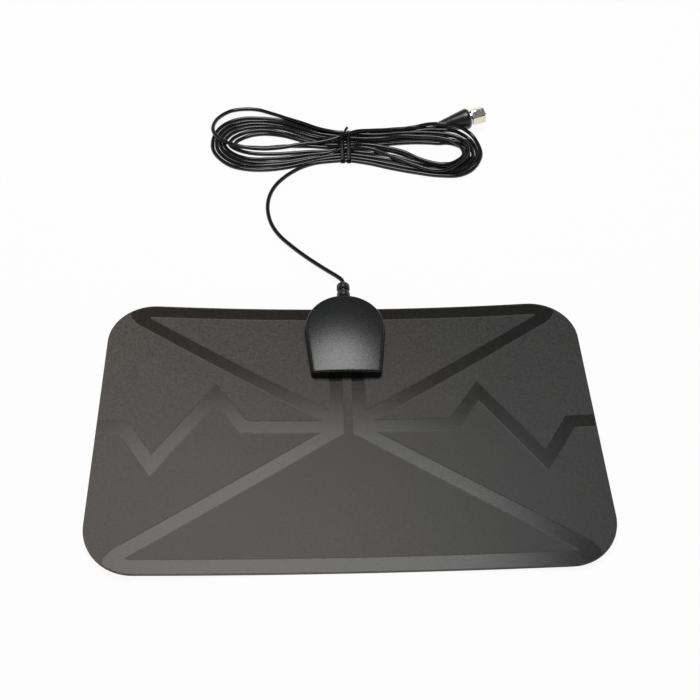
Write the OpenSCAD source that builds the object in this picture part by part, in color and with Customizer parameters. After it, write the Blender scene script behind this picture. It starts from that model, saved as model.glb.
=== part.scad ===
// Flat indoor antenna: a curled laminated sheet, a small housing at its far edge,
// and a coax lead wound in a tied hank with a screw-on connector.
// Millimetres, +Z up. The part lies on the plane z = 0.

/* [Sheet] */
// Width of the sheet
sheet_w = 300; // [260:1:340]
// Depth of the sheet
sheet_h = 184.5; // [170:0.5:210]
// Radius of the sheet's four corners
sheet_corner_r = 29.5; // [20:0.5:34]
// Radius of the curl at the far edge
far_curl_r = 1490; // [1300:10:1600]
// Radius of the curl at the near edge
near_curl_r = 2320; // [2100:10:3000]
// Thickness of each of the two films
film_t = 0.25; // [0.2:0.05:0.4]
// Thickness of the foil
foil_t = 0.1; // [0.05:0.05:0.15]

/* [Foil pattern] */
// Width of the diagonal, zigzag and edge strips
strip_w = 8; // [6:0.5:9]
// Margin between the foil and the sheet's edge
foil_margin = 0.9; // [0.5:0.1:3]
// Gap between the two halves at the middle
feed_gap = 5.6; // [4:0.1:7]
// Width of each feeder that runs up into the housing
feed_w = 8.2; // [7:0.1:10]
// Height of the centre line of the horizontal strips
bar_y = 1.8; // [0:0.1:4]
// Where the horizontal strip ends and the zigzag starts
zig_start_x = 63.6; // [50:0.1:66]
// Peak of the zigzag, across
zig_peak_x = 81; // [76:0.1:88]
// Peak of the zigzag, up
zig_peak_y = 25.5; // [15:0.1:30]
// Trough of the zigzag, across
zig_trough_x = 116.5; // [108:0.1:120]
// Trough of the zigzag, down
zig_trough_y = -25; // [-30:0.1:-15]
// Where the end stub of the zigzag starts
stub_x = 134.5; // [130:0.1:140]
// Height of the end stub's centre line
stub_y = 0.5; // [-2:0.1:3]
// Rise of the upper diagonals for each unit across
upper_slope = 0.607; // [0.59:0.001:0.62]
// Fall of the lower diagonals for each unit across
lower_slope = 0.647; // [0.63:0.001:0.66]
// Distance of the corner tips from the middle
tip_x = 131; // [126:0.1:133]
// Radius of the corner tips
tip_r = 6.4; // [5:0.1:7]

/* [Housing] */
// Distance of the housing's front from the sheet's middle
cover_front_y = 37.3; // [30:0.1:42]
// Half of the housing's width at its front
cover_front_half = 22.4; // [20:0.1:24]
// Radius of the housing's round far end
cover_r = 26.1; // [25:0.1:29]
// Centre of the round far end
cover_mid_y = 72.7; // [71:0.1:74]
// Radius of the two front corners
cover_corner_r = 2.4; // [1.5:0.1:4]
// Highest point of the crowned top above the sheet
crown_z = 10; // [9:0.1:12]
// Radius of the crowned top
crown_r = 178; // [150:1:300]
// Inward lean of the side walls from base to top
draft = 0.8; // [0.4:0.1:1.2]
// Radius of the rounded top edge
edge_r = 1.2; // [0.6:0.1:1.5]
// Wall of the top cover
cover_wall = 1.5; // [1:0.1:1.8]
// Thickness of the back cover
back_cover_t = 2; // [1.8:0.1:3]

/* [Screws] */
// Shank diameter of the cover screws
screw_d = 2; // [1.6:0.1:2.4]
// Head diameter of the cover screws
screw_head_d = 4; // [3.4:0.1:4.4]
// Length of the cover screws
screw_len = 6.4; // [5:0.1:7]
// Distance of the screws from the middle line
screw_x = 16.5; // [15.5:0.1:18]
// Distance of the front pair of screws behind the housing's front
screw_front = 8.5; // [7:0.1:10]
// Distance between the front pair and the far pair
screw_pitch = 32; // [28:0.1:34]

/* [Circuit] */
// Width of the circuit board
board_w = 24; // [22:0.5:26]
// Depth of the circuit board
board_d = 29; // [27:0.5:30]
// Thickness of the circuit board
board_t = 0.8; // [0.6:0.1:1]
// Height of the board's underside above the sheet
board_z = 0.6; // [0.5:0.05:0.8]
// Length of the ferrite core along the cord's direction
core_len = 5; // [4:0.1:6]
// Height of the ferrite core
core_h = 3; // [2.6:0.1:3.4]
// Distance between the two holes of the ferrite core
core_pitch = 3.4; // [3:0.1:4]

/* [Cord] */
// Outer diameter of the cord
cord_d = 3; // [2.6:0.1:3.4]
// Height of the cord's axis above the sheet inside the housing
cord_z = 2.6; // [2.4:0.1:3]
// Diameter of the strain relief's ribs
rib_d = 8.8; // [8:0.1:9]
// Length of each rib
rib_len = 5.2; // [4:0.1:6]
// Gap between the ribs
rib_gap = 1.3; // [1:0.1:2]
// Diameter of the strain relief between the ribs
relief_core_d = 5.2; // [4.8:0.1:5.6]
// Height of the wound hank
hank_h = 7; // [6:0.1:8]

/* [Tie] */
// Width of one wrap of the wire tie
tie_w = 3.6; // [3:0.1:4]
// Thickness of the wire tie
tie_t = 0.8; // [0.6:0.1:1]
// Length of the twisted tail of the wire tie
tie_tail = 9; // [6:0.5:12]

/* [Connector] */
// Length of the tapered boot
boot_len = 28; // [26:0.5:32]
// Diameter of the boot's wide end
boot_d = 16; // [14.5:0.1:16]
// Diameter of the boot's narrow end
boot_tip_d = 6.4; // [5.6:0.1:7]
// Width across the flats of the coupling nut
nut_af = 11.1; // [10.8:0.1:12]
// Length of the coupling nut
nut_len = 10.5; // [9:0.1:12]
// Diameter of the coupling nut's threaded bore
nut_bore_d = 9.3; // [9.2:0.1:9.6]
// Diameter of the post's neck that the nut turns on
neck_d = 7; // [6.4:0.1:7.4]
// Diameter of the centre pin
pin_d = 0.8; // [0.6:0.1:1]
// Length of the centre pin that stands out of the insulator
pin_len = 9.8; // [8:0.1:11]

/* [Hidden] */
$fn = 48;

// Laminate heights, from the raised top of the front film at the middle line
laminate_t = 2 * film_t + foil_t;
flat_top = -foil_t;
foil_top = -film_t;
foil_bottom = -film_t - foil_t;
// The front film wraps each strip's edge by this much
emboss = 0.3;

// Each surface of the curled sheet lies on a blunt cone
cone_angle = atan((near_curl_r - far_curl_r) / sheet_h);
apex_y = sheet_h / 2 + far_curl_r / tan(cone_angle);
cone_near = (apex_y + sheet_h / 2 + 60) * cos(cone_angle);
cone_far = (apex_y - sheet_h / 2 - 20) * cos(cone_angle);
// Vertical room for prisms that cut the sheet
prism_low = -3;
prism_high = 30;

// The housing's covers meet round the sheet at this height
split_z = 0.25;
back_top = -laminate_t;
back_bottom = back_top - back_cover_t;

// The sheet leans on its near edge and on the back cover's front edge
tilt = atan(back_cover_t / (cover_front_y + sheet_h / 2));
lift = sheet_h / 2 * sin(tilt) + laminate_t * cos(tilt);

// Strain relief: places along the cord, from the sheet's middle
wall_inner_y = cover_mid_y + cover_r - cover_wall - draft;
flange_len = 2.4;
flange_d = 7.2;
flange_y = sheet_h / 2 + 1.3;
neck_end_y = cover_mid_y + cover_r + 0.5;
rib_2_y = neck_end_y + rib_len + rib_gap;
relief_tip = 1.7;
relief_end_y = rib_2_y + rib_len + relief_tip;

// The origin is under the middle of the sheet, housing and strain relief
y_shift = (relief_end_y - sheet_h / 2) * cos(tilt) / 2;

// Lower end of the two feeders, and their upper end under the circuit board
feed_foot_y = bar_y - 5.6;
feed_top_y = cover_front_y + 24.7;

// Circuit places
board_y0 = cover_front_y + 12.7;
board_top = board_z + board_t;
peg_d = 1.8;
peg_x = board_w / 2 - 2;
peg_y = board_y0 + 17;
core_y = board_y0 + 7;
contact_w = 4;
contact_len = 6;
contact_y = board_y0 + 4;
contact_t = 0.25;
braid_d = 2.3;
dielectric_d = 1.5;
conductor_d = 0.5;
jacket_y = board_y0 + board_d + 3;
braid_y = jacket_y - 8;
dielectric_y = braid_y - 3;
solder_y = dielectric_y - 4;

// Connector frame: the boot's narrow end starts it, and u runs along its axis. The boot
// lies on the floor along its whole side, so its axis rises by the cone's half angle.
connector_angle = 11.7;
connector_rise = asin((boot_d - boot_tip_d) / 2 / boot_len);
connector_end = [104.6, 270.4, boot_d / 2 * cos(connector_rise)];
boot_round = 3;
body_d = 8.4;
body_u = boot_len - 12;
shoulder_d = 10;
shoulder_len = 0.8;
nut_u = boot_len + shoulder_len + 0.2;
nut_wall = 1.05;
flange_gap = 0.15;
post_flange_len = 1;
post_flange_d = nut_bore_d - 0.7;
flange_u = nut_u + nut_wall + flange_gap;
face_u = flange_u + post_flange_len;
neck_clear = 0.05;
insulator_d = 3.2;
pin_collar_d = 1.4;

// The hank's two lobes, its waist under the tie, and its two eyes
left_lobe = [-60, 251.5];
left_r = 36;
right_lobe = [84.5, 238];
right_r = 27.3;
waist_x = 6.5;
waist_y = 243;
waist_w = 35;
waist_len = 12;
tie_pitch = 5.4;

// The free cord's route from the strain relief to the hank
cord_exit = [0, relief_end_y * cos(tilt) - cord_z * sin(tilt) - y_shift,
    relief_end_y * sin(tilt) + cord_z * cos(tilt) + lift];
cord_route = [
    [-0.6, 105, 6.2], [-3, 108.2, 5.8], [-8.6, 114, 4.6], [-17, 122.8, 2.8],
    [-26, 132, 1.8], [-35.2, 141.8, 1.5], [-42.8, 151, 1.5], [-48.2, 161.2, 1.5],
    [-50.8, 170.8, 1.5], [-51.6, 180, 1.5], [-50.6, 189.6, 1.5], [-47, 200, 1.5],
    [-40.4, 209.6, 1.5], [-33.2, 216.6, 1.5], [-25.2, 222.2, 1.5], [-15, 226.2, 1.5],
    [-6, 227.6, 1.5]];
// The last stretch, off the top of the hank and into the boot
tail_route = [[38, 257.4, 3], [48, 259.2, 3], [58, 261, 3.1], [68, 262.8, 3.15]];

// Vector helpers
function unit(v) = v / norm(v);
function at(p, q, s) = p + (q - p) * s;

// Edge of a flat strip that follows points p, on one side, with mitred corners
function side_normal(p, i) = let (t = unit(p[i + 1] - p[i])) [-t[1], t[0]];
function mitre(a, b) = (a + b) / (1 + a * b);
function strip_edge(p, half) = [for (i = [0:len(p) - 1])
    let (
        before = side_normal(p, max(i - 1, 0)),
        after = side_normal(p, min(i, len(p) - 2))
    ) p[i] + mitre(before, after) * half];
function reversed(p) = [for (i = [len(p) - 1:-1:0]) p[i]];

module strip(p, w) {
    polygon(concat(strip_edge(p, w / 2), reversed(strip_edge(p, -w / 2))));
}

module rounded_rectangle(w, h, r) {
    square([w - 2 * r, h], center = true);
    square([w, h - 2 * r], center = true);
    for (x = [-1, 1], y = [-1, 1])
        translate([x * (w / 2 - r), y * (h / 2 - r)]) circle(r);
}

module both_sides() {
    children();
    mirror([1, 0, 0]) children();
}

// Outline of the foil, with every strip wider by grow on each side
module foil_outline(grow = 0) {
    w = strip_w + 2 * grow;
    inner_x = feed_gap / 2 - grow;
    edge_y = sheet_h / 2 - foil_margin - strip_w / 2;
    tip_y = edge_y + strip_w / 2 - tip_r;
    upper_y = tip_y - strip_w / 2 - upper_slope * tip_x;
    lower_y = lower_slope * tip_x - tip_y + strip_w / 2;
    intersection() {
        rounded_rectangle(sheet_w - 2 * foil_margin + 2 * grow,
            sheet_h - 2 * foil_margin + 2 * grow, sheet_corner_r - foil_margin + grow, $fn = 96);
        both_sides() {
            intersection() {
                translate([inner_x, -sheet_h / 2]) square([sheet_w / 2, sheet_h]);
                union() {
                    translate([inner_x, feed_foot_y - grow])
                        square([feed_w + 2 * grow, feed_top_y - feed_foot_y + 2 * grow]);
                    strip([[0, bar_y], [zig_start_x, bar_y], [zig_peak_x, zig_peak_y],
                        [zig_trough_x, zig_trough_y], [stub_x, stub_y], [sheet_w / 2, stub_y]],
                        w);
                    strip([[-w, upper_y - upper_slope * w],
                        [tip_x, upper_y + upper_slope * tip_x]], w);
                    strip([[-w, lower_y + lower_slope * w],
                        [tip_x, lower_y - lower_slope * tip_x]], w);
                }
            }
            for (s = [-1, 1]) {
                translate([-1, s * edge_y - w / 2]) square([tip_x + 1, w]);
                translate([tip_x, s * tip_y]) circle(tip_r + grow);
                translate([tip_x, s * (tip_y - strip_w / 2)]) circle(0.45 * w);
            }
        }
    }
}

// Solid above one surface of the curled sheet, z higher than the top at the middle line
module above(z) {
    translate([0, apex_y, 0]) rotate([90 - cone_angle, 0, 0])
        translate([0, 0, z / sin(cone_angle) + cone_far])
            cylinder(h = cone_near - cone_far, r1 = cone_far * tan(cone_angle),
                r2 = cone_near * tan(cone_angle), $fn = 720);
}

module through_sheet() {
    translate([0, 0, prism_low]) linear_extrude(prism_high - prism_low) children();
}

module sheet_outline() {
    rounded_rectangle(sheet_w, sheet_h, sheet_corner_r, $fn = 96);
}

module at_screws() {
    for (x = [-1, 1], y = [0, screw_pitch])
        translate([x * screw_x, cover_front_y + screw_front + y, 0]) children();
}

module screw_holes() {
    at_screws() translate([0, 0, prism_low]) cylinder(d = screw_d + 0.8, h = 6);
}

// Places a piece of the panel in the part's frame, with the sheet leaning on its near edge
module seat() {
    translate([0, -y_shift, lift]) rotate([tilt, 0, 0]) children();
}

module front_film() {
    window_x = feed_gap / 2 + feed_w + 1;
    color("#3c3b39") seat() difference() {
        intersection() {
            above(foil_bottom);
            through_sheet() sheet_outline();
        }
        difference() {
            above(flat_top);
            through_sheet() foil_outline(emboss);
        }
        above(0);
        difference() {
            through_sheet() foil_outline();
            above(foil_top);
        }
        translate([-window_x, contact_y - 1.5, prism_low])
            cube([2 * window_x, contact_len + 3, prism_high]);
        screw_holes();
    }
}

module antenna_foil() {
    color("#b9bcc0") seat() difference() {
        intersection() {
            above(foil_bottom);
            through_sheet() foil_outline();
        }
        above(foil_top);
    }
}

module back_film() {
    color("#232323") seat() difference() {
        intersection() {
            above(back_top);
            through_sheet() sheet_outline();
        }
        above(foil_bottom);
        screw_holes();
    }
}

// Housing outline, set in by d, from the middle of the front edge and round
function dir(a) = [cos(a), sin(a)];
function cover_half(d) =
    let (
        r1 = max(cover_corner_r - d, 0.3),
        r2 = cover_r - d,
        c1 = [cover_front_half - d - r1, cover_front_y + d + r1],
        c2 = [0, cover_mid_y],
        lean = atan2(c2[1] - c1[1], c2[0] - c1[0]) - acos((r1 - r2) / norm(c2 - c1))
    ) concat(
        [for (i = [0:4]) [c1[0] * i / 4, cover_front_y + d]],
        [for (i = [1:4]) c1 + r1 * dir(-90 + (lean + 90) * i / 4)],
        [for (i = [1:5]) at(c1 + r1 * dir(lean), c2 + r2 * dir(lean), i / 5)],
        [for (i = [1:14]) c2 + r2 * dir(lean + (90 - lean) * i / 14)]);
function cover_outline(d) = let (h = cover_half(d))
    concat(h, [for (i = [len(h) - 2:-1:1]) [-h[i][0], h[i][1]]]);

// Height of the crowned top, and a ring of points that lies below it by drop
crown_mid = [0, cover_mid_y - 0.7];
function crown(p) = crown_z - (p - crown_mid) * (p - crown_mid) / (2 * crown_r);
function crown_ring(d, drop, s = 1) = [for (q = cover_outline(d))
    let (p = crown_mid + (q - crown_mid) * s) [p[0], p[1], crown(p) - drop]];
function flat_ring(d, z) = [for (p = cover_outline(d)) [p[0], p[1], z]];

// Closed solid through rings of equal count, listed upwards, with a point in each end
module loft(rings, top) {
    n = len(rings[0]);
    count = len(rings) * n;
    base = [top[0], top[1], rings[0][0][2]];
    points = concat([for (r = rings) each r], [base, top]);
    sides = [for (k = [0:n:count - 2 * n], i = [0:n - 1])
        let (j = (i + 1) % n) each [[k + i, k + n + i, k + n + j], [k + i, k + n + j, k + j]]];
    floor_fan = [for (i = [0:n - 1]) [i, (i + 1) % n, count]];
    roof_fan = [for (i = [0:n - 1]) [count - n + i, count + 1, count - n + (i + 1) % n]];
    polyhedron(points, concat(floor_fan, sides, roof_fan));
}

module cover_form() {
    rim = draft + edge_r;
    loft(concat(
        [flat_ring(0, split_z)],
        [for (a = [0:22.5:90]) crown_ring(draft + edge_r * (1 - cos(a)), edge_r * (1 - sin(a)))],
        [for (s = [0.8, 0.6, 0.4, 0.2]) crown_ring(rim, 0, s)]),
        [crown_mid[0], crown_mid[1], crown_z]);
}

module cover_hollow() {
    rim = cover_wall + draft + 0.8;
    loft(concat(
        [flat_ring(cover_wall, split_z - 1)],
        [crown_ring(cover_wall + draft, cover_wall + 0.8), crown_ring(rim, cover_wall)],
        [for (s = [0.7, 0.4]) crown_ring(rim, cover_wall, s)]),
        [crown_mid[0], crown_mid[1], crown_z - cover_wall]);
}

module at_pegs() {
    for (x = [-1, 1]) translate([x * peg_x, peg_y, 0]) children();
}

// A rod along the cord's axis from y0 to y1
module along_cord(y0, y1, d) {
    translate([0, y0, cord_z]) rotate([-90, 0, 0]) cylinder(d = d, h = y1 - y0);
}

module top_cover() {
    boss_d = screw_d + 2.8;
    neck_slot = relief_core_d + 0.2;
    color("#2a2b2b") seat() difference() {
        union() {
            difference() {
                cover_form();
                cover_hollow();
            }
            at_screws_boss(boss_d);
            at_pegs() translate([0, 0, board_z])
                cylinder(d = peg_d, h = crown([peg_x, peg_y]) - board_z - cover_wall / 2);
            at_pegs() translate([0, 0, board_top])
                cylinder(d = peg_d + 1.4, h = crown([peg_x, peg_y]) - board_top - cover_wall / 2);
        }
        at_screws() cylinder(d = screw_d + 0.1, h = screw_len + back_bottom + 0.6);
        along_cord(wall_inner_y - 2, neck_end_y + 4, neck_slot);
        translate([-neck_slot / 2, wall_inner_y - 2, -1])
            cube([neck_slot, cover_wall + draft + 8, cord_z + 1]);
    }
}

// Screw bosses from the sheet up into the crowned top
module at_screws_boss(d) {
    for (x = [-1, 1], y = [0, screw_pitch]) {
        p = [x * screw_x, cover_front_y + screw_front + y];
        translate([p[0], p[1], split_z])
            cylinder(d = d, h = crown(p) - cover_wall / 2 - split_z);
    }
}

screw_cone_h = 1.1;

module back_cover() {
    lip_y = sheet_h / 2 + 0.3;
    color("#262727") seat() difference() {
        union() {
            loft([flat_ring(0.9, back_bottom), flat_ring(0.3, back_bottom + 0.3),
                flat_ring(0, back_bottom + 0.9), flat_ring(0, back_top)],
                [crown_mid[0], crown_mid[1], back_top]);
            intersection() {
                translate([0, 0, back_top - 0.5]) linear_extrude(split_z - back_top + 0.5)
                    difference() {
                        polygon(cover_outline(0.05));
                        polygon(cover_outline(cover_wall));
                    }
                translate([-cover_r, lip_y, back_top - 1]) cube([2 * cover_r, cover_r, 4]);
            }
        }
        at_screws() translate([0, 0, back_bottom - 0.01]) {
            cylinder(d1 = screw_head_d + 0.2, d2 = screw_d + 0.4, h = screw_cone_h + 0.1);
            cylinder(d = screw_d + 0.4, h = back_cover_t + 1);
        }
        along_cord(flange_y - 0.2, flange_y + flange_len + 0.2, flange_d + 0.4);
        along_cord(wall_inner_y - 2, neck_end_y + 4, relief_core_d + 0.2);
    }
}

module cover_screws() {
    recess_l = 2.2;
    recess_w = 0.5;
    recess_h = 0.6;
    color("#8a8c8f") seat() at_screws() translate([0, 0, back_bottom + 0.05]) difference() {
        union() {
            cylinder(d1 = screw_head_d, d2 = screw_d, h = screw_cone_h);
            cylinder(d = screw_d, h = screw_len - 0.8);
            translate([0, 0, screw_len - 0.8]) cylinder(d1 = screw_d, d2 = screw_d * 0.4, h = 0.8);
        }
        for (a = [0, 90]) rotate([0, 0, a])
            translate([-recess_l / 2, -recess_w / 2, -1]) cube([recess_l, recess_w, 1 + recess_h]);
    }
}

module circuit_board() {
    color("#1f5a37") seat() difference() {
        translate([-board_w / 2, board_y0, board_z]) cube([board_w, board_d, board_t]);
        at_pegs() translate([0, 0, board_z - 1]) cylinder(d = peg_d + 0.2, h = board_t + 2);
    }
}

// Bent spring strip between one feeder and the board above it
module contact() {
    low = foil_top + 0.05;
    rise = board_z - low;
    translate([feed_gap / 2 + feed_w / 2 - contact_w / 2, contact_y + contact_len, low])
        rotate([90, 0, 0]) linear_extrude(contact_len) polygon([
            [0, 0], [contact_w, 0], [contact_w, contact_t], [contact_t, contact_t],
            [contact_t, rise - contact_t], [contact_w, rise - contact_t], [contact_w, rise],
            [0, rise]]);
}

module contact_right() {
    color("#c8a24a") seat() contact();
}

module contact_left() {
    color("#c8a24a") seat() mirror([1, 0, 0]) contact();
}

module balun_core() {
    color("#3d3f42") seat() translate([0, core_y, board_top]) difference() {
        union() {
            translate([-core_pitch / 2, 0, 0]) cube([core_pitch, core_len, core_h]);
            for (x = [-1, 1]) translate([x * core_pitch / 2, 0, core_h / 2])
                rotate([-90, 0, 0]) cylinder(d = core_h, h = core_len);
        }
        for (x = [-1, 1]) translate([x * core_pitch / 2, -1, core_h / 2])
            rotate([-90, 0, 0]) cylinder(d = 1.4, h = core_len + 2);
    }
}

// Two turns of enamelled wire through the core's holes
module balun_winding() {
    wire_d = 0.4;
    color("#b5652a") seat() for (z = [-0.32, 0.32])
        translate([0, core_y, board_top + core_h / 2 + z]) {
            for (x = [-1, 1]) translate([x * core_pitch / 2, -0.6, 0])
                rotate([-90, 0, 0]) cylinder(d = wire_d, h = core_len + 1.2, $fn = 16);
            for (end = [0, 1]) translate([0, end ? core_len + 0.6 : -0.6, 0])
                rotate([0, 0, end ? 0 : 180]) rotate_extrude(angle = 180, $fn = 32)
                    translate([core_pitch / 2, 0]) circle(d = wire_d, $fn = 16);
        }
}

module matching_capacitor() {
    color("#a88c63") seat() translate([-7.4, core_y + core_len + 2, board_top]) {
        translate([0, 0.05, 0.05]) cube([2, 1.1, 0.7]);
        for (x = [0, 1.6]) translate([x, 0, 0]) cube([0.4, 1.2, 0.8]);
    }
}

module cable_clamp() {
    clamp_w = 3;
    wall = 0.3;
    foot = 2;
    outer = braid_d / 2 + wall;
    color("#b9bcc0") seat() translate([0, braid_y + 1 + clamp_w, 0]) rotate([90, 0, 0])
        linear_extrude(clamp_w) difference() {
            union() {
                translate([0, cord_z]) circle(outer);
                translate([-outer, board_top]) square([2 * outer, cord_z - board_top]);
                translate([-outer - foot, board_top]) square([2 * (outer + foot), wall]);
            }
            translate([0, cord_z]) circle(d = braid_d + 0.04);
            translate([-braid_d / 2 - 0.02, 0]) square([braid_d + 0.04, cord_z]);
        }
}

module cable_jacket_end() {
    color("#1c1c1c") seat() along_cord(jacket_y, relief_end_y - 1, cord_d);
}

module cable_braid_end() {
    color("#a7a9ac") seat() difference() {
        along_cord(braid_y, jacket_y, braid_d);
        along_cord(braid_y - 1, jacket_y + 1, dielectric_d);
    }
}

module cable_dielectric_end() {
    color("#e9e7df") seat() difference() {
        along_cord(dielectric_y, jacket_y, dielectric_d);
        along_cord(dielectric_y - 1, jacket_y + 1, conductor_d);
    }
}

module cable_conductor_end() {
    color("#c07a3a") seat() along_cord(solder_y, jacket_y, conductor_d);
}

module solder_joint() {
    color("#c9cbcd") seat() difference() {
        translate([0, solder_y, board_top])
            cylinder(d1 = 2.4, d2 = 1.2, h = cord_z - board_top + 0.5);
        along_cord(solder_y, solder_y + 4, conductor_d);
    }
}

function rib(y) =
    let (round_r = 1.3, r = rib_d / 2 - round_r)
    concat([for (a = [-90:30:0]) [r + round_r * cos(a), y + round_r + round_r * sin(a)]],
        [for (a = [0:30:90]) [r + round_r * cos(a), y + rib_len - round_r + round_r * sin(a)]]);

module strain_relief() {
    core_r = relief_core_d / 2;
    color("#242525") seat() translate([0, 0, cord_z]) rotate([-90, 0, 0]) rotate_extrude()
        polygon(concat(
            [[cord_d / 2, flange_y], [flange_d / 2, flange_y],
                [flange_d / 2, flange_y + flange_len], [core_r, flange_y + flange_len],
                [core_r, neck_end_y]],
            rib(neck_end_y),
            [[core_r, neck_end_y + rib_len], [core_r, rib_2_y]],
            rib(rib_2_y),
            [[core_r, rib_2_y + rib_len], [cord_d / 2 + 0.5, relief_end_y],
                [cord_d / 2, relief_end_y]]));
}

// Smooth route through points p, with steps rings for each stretch
function bend(a, b, c, d, s) = 0.5 * (2 * b + (c - a) * s
    + (2 * a - 5 * b + 4 * c - d) * s * s + (3 * b - a - 3 * c + d) * s * s * s);
function smooth(p, steps) = let (n = len(p) - 1) concat(
    [for (i = [0:n - 1], k = [0:steps - 1])
        bend(p[max(i - 1, 0)], p[i], p[i + 1], p[min(i + 2, n)], k / steps)], [p[n]]);

// Round tube of eight sides along points p
module tube(p, d) {
    sides = 8;
    n = len(p) - 1;
    rings = [for (i = [0:n])
        let (
            t = unit(p[min(i + 1, n)] - p[max(i - 1, 0)]),
            u = unit(cross(t, [0, 0, 1])),
            v = cross(u, t)
        ) each [for (k = [0:sides - 1])
            p[i] + d / 2 * (u * cos(k * 360 / sides) + v * sin(k * 360 / sides))]];
    walls = [for (i = [0:n - 1], k = [0:sides - 1])
        let (a = i * sides, b = a + sides, m = (k + 1) % sides)
        each [[a + k, a + m, b + m], [a + k, b + m, b + k]]];
    polyhedron(rings, concat([[for (k = [sides - 1:-1:0]) k]], walls,
        [[for (k = [0:sides - 1]) n * sides + k]]));
}

module coax_cord() {
    color("#1b1c1c") tube(smooth(concat([cord_exit - [0, 0.8, 0]], cord_route), 2), cord_d);
}

// Puts a piece on the connector's axis, with its narrow end at the origin and u upwards
module on_connector() {
    translate(connector_end) rotate([0, 90 - connector_rise, connector_angle])
        translate([0, 0, -boot_len]) children();
}
function connector_point(u) = connector_end + (u - boot_len) * concat(
    cos(connector_rise) * dir(connector_angle), [sin(connector_rise)]);

module cord_tail() {
    color("#1b1c1c")
        tube(concat(smooth(concat(tail_route, [connector_point(0)]), 2),
            [connector_point(2), connector_point(body_u - 0.1)]), cord_d);
}

module boot_form(grow = 0) {
    tip = boot_tip_d / 2 + grow;
    wide = boot_d / 2 + grow;
    rotate_extrude() polygon(concat(
        [[0, -grow], [tip - 0.4, -grow], [tip, 0.6]],
        [for (a = [0:15:90]) [wide - boot_round + boot_round * cos(a),
            boot_len - boot_round + (boot_round + grow) * sin(a)]],
        [[0, boot_len + grow]]));
}

module connector_boot() {
    color("#1f2020") on_connector() difference() {
        boot_form();
        translate([0, 0, -1]) cylinder(d = cord_d + 0.1, h = boot_len);
        translate([0, 0, body_u]) cylinder(d = body_d, h = boot_len);
    }
}

module connector_body() {
    color("#b4b6b8") on_connector() difference() {
        union() {
            translate([0, 0, body_u]) cylinder(d = body_d, h = boot_len - body_u);
            translate([0, 0, boot_len]) cylinder(d = shoulder_d, h = shoulder_len);
            translate([0, 0, boot_len]) cylinder(d = neck_d, h = face_u - boot_len);
            translate([0, 0, flange_u]) cylinder(d = post_flange_d, h = post_flange_len);
        }
        translate([0, 0, body_u - 1]) cylinder(d = insulator_d, h = boot_len);
    }
}

module connector_insulator() {
    color("#e8e6e0") on_connector() difference() {
        translate([0, 0, body_u]) cylinder(d = insulator_d, h = face_u - body_u);
        translate([0, 0, body_u + 2]) cylinder(d = pin_collar_d, h = boot_len);
    }
}

module connector_pin() {
    color("#c98f4c") on_connector() {
        translate([0, 0, body_u + 2]) cylinder(d = pin_collar_d, h = face_u - body_u - 2);
        translate([0, 0, face_u]) cylinder(d = pin_d, h = pin_len, $fn = 32);
        translate([0, 0, face_u + pin_len])
            cylinder(d1 = pin_d, d2 = pin_d / 2, h = pin_d / 2, $fn = 32);
    }
}

module coupling_nut() {
    corner_r = nut_af / 2 / cos(30);
    chamfer = 0.8;
    color("#c4c6c8") on_connector() translate([0, 0, nut_u]) difference() {
        intersection() {
            cylinder(r = corner_r, h = nut_len, $fn = 6);
            rotate_extrude() polygon([[0, 0], [corner_r - chamfer, 0], [corner_r, chamfer * 0.6],
                [corner_r, nut_len - chamfer * 0.6], [corner_r - chamfer, nut_len],
                [0, nut_len]]);
        }
        translate([0, 0, -1]) cylinder(d = neck_d + 2 * neck_clear, h = nut_len);
        translate([0, 0, nut_wall]) cylinder(d = nut_bore_d, h = nut_len);
    }
}

module hank_outline() {
    waist_left = waist_x - waist_len / 2;
    difference() {
        union() {
            hull() {
                translate(left_lobe) circle(left_r, $fn = 64);
                translate([waist_left, waist_y - waist_w / 2]) square([0.1, waist_w]);
            }
            translate([waist_left, waist_y - waist_w / 2]) square([waist_len, waist_w]);
            hull() {
                translate(right_lobe) circle(right_r, $fn = 64);
                translate([waist_left + waist_len - 0.1, waist_y - waist_w / 2])
                    square([0.1, waist_w]);
            }
        }
        hull() {
            translate([-67, 251]) circle(6.4, $fn = 32);
            translate([-28, 249.6]) circle(1.6, $fn = 32);
        }
        hull() {
            translate([84, 238.5]) circle(9.6, $fn = 32);
            translate([65, 238]) circle(10.4, $fn = 32);
            translate([44, 240]) circle(1.6, $fn = 32);
        }
    }
}

module at_wraps() {
    for (s = [-1, 1]) translate([waist_x + s * tie_pitch / 2 - tie_w / 2, waist_y, 0]) children();
}

module cord_hank() {
    color("#1b1c1c") difference() {
        linear_extrude(hank_h) hank_outline();
        at_wraps() translate([0, -waist_w, -1]) cube([tie_w, 2 * waist_w, 1 + tie_t]);
        on_connector() boot_form(0.2);
    }
}

module twist_tie() {
    color("#161616") {
        at_wraps() rotate([90, 0, 90]) linear_extrude(tie_w) translate([0, (hank_h + tie_t) / 2])
            difference() {
                rounded_rectangle(waist_w + 2 * tie_t, hank_h + tie_t, 1.2);
                square([waist_w, hank_h - tie_t], center = true);
            }
        translate([waist_x - tie_pitch / 2, waist_y + waist_w / 2 - 3, hank_h + tie_t - 0.4])
            rotate([-35, 0, -25]) linear_extrude(tie_tail, twist = 720, slices = 16)
                for (s = [-0.5, 0.5]) translate([s, 0]) circle(0.6, $fn = 6);
        translate([waist_x - tie_pitch / 2, waist_y + 2, hank_h])
            cube([tie_pitch, tie_w, tie_t]);
    }
}

front_film();
antenna_foil();
back_film();
top_cover();
back_cover();
cover_screws();
circuit_board();
contact_left();
contact_right();
balun_core();
balun_winding();
matching_capacitor();
cable_clamp();
cable_jacket_end();
cable_braid_end();
cable_dielectric_end();
cable_conductor_end();
solder_joint();
strain_relief();
coax_cord();
cord_hank();
cord_tail();
twist_tie();
connector_boot();
connector_body();
connector_insulator();
connector_pin();
coupling_nut();
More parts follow.
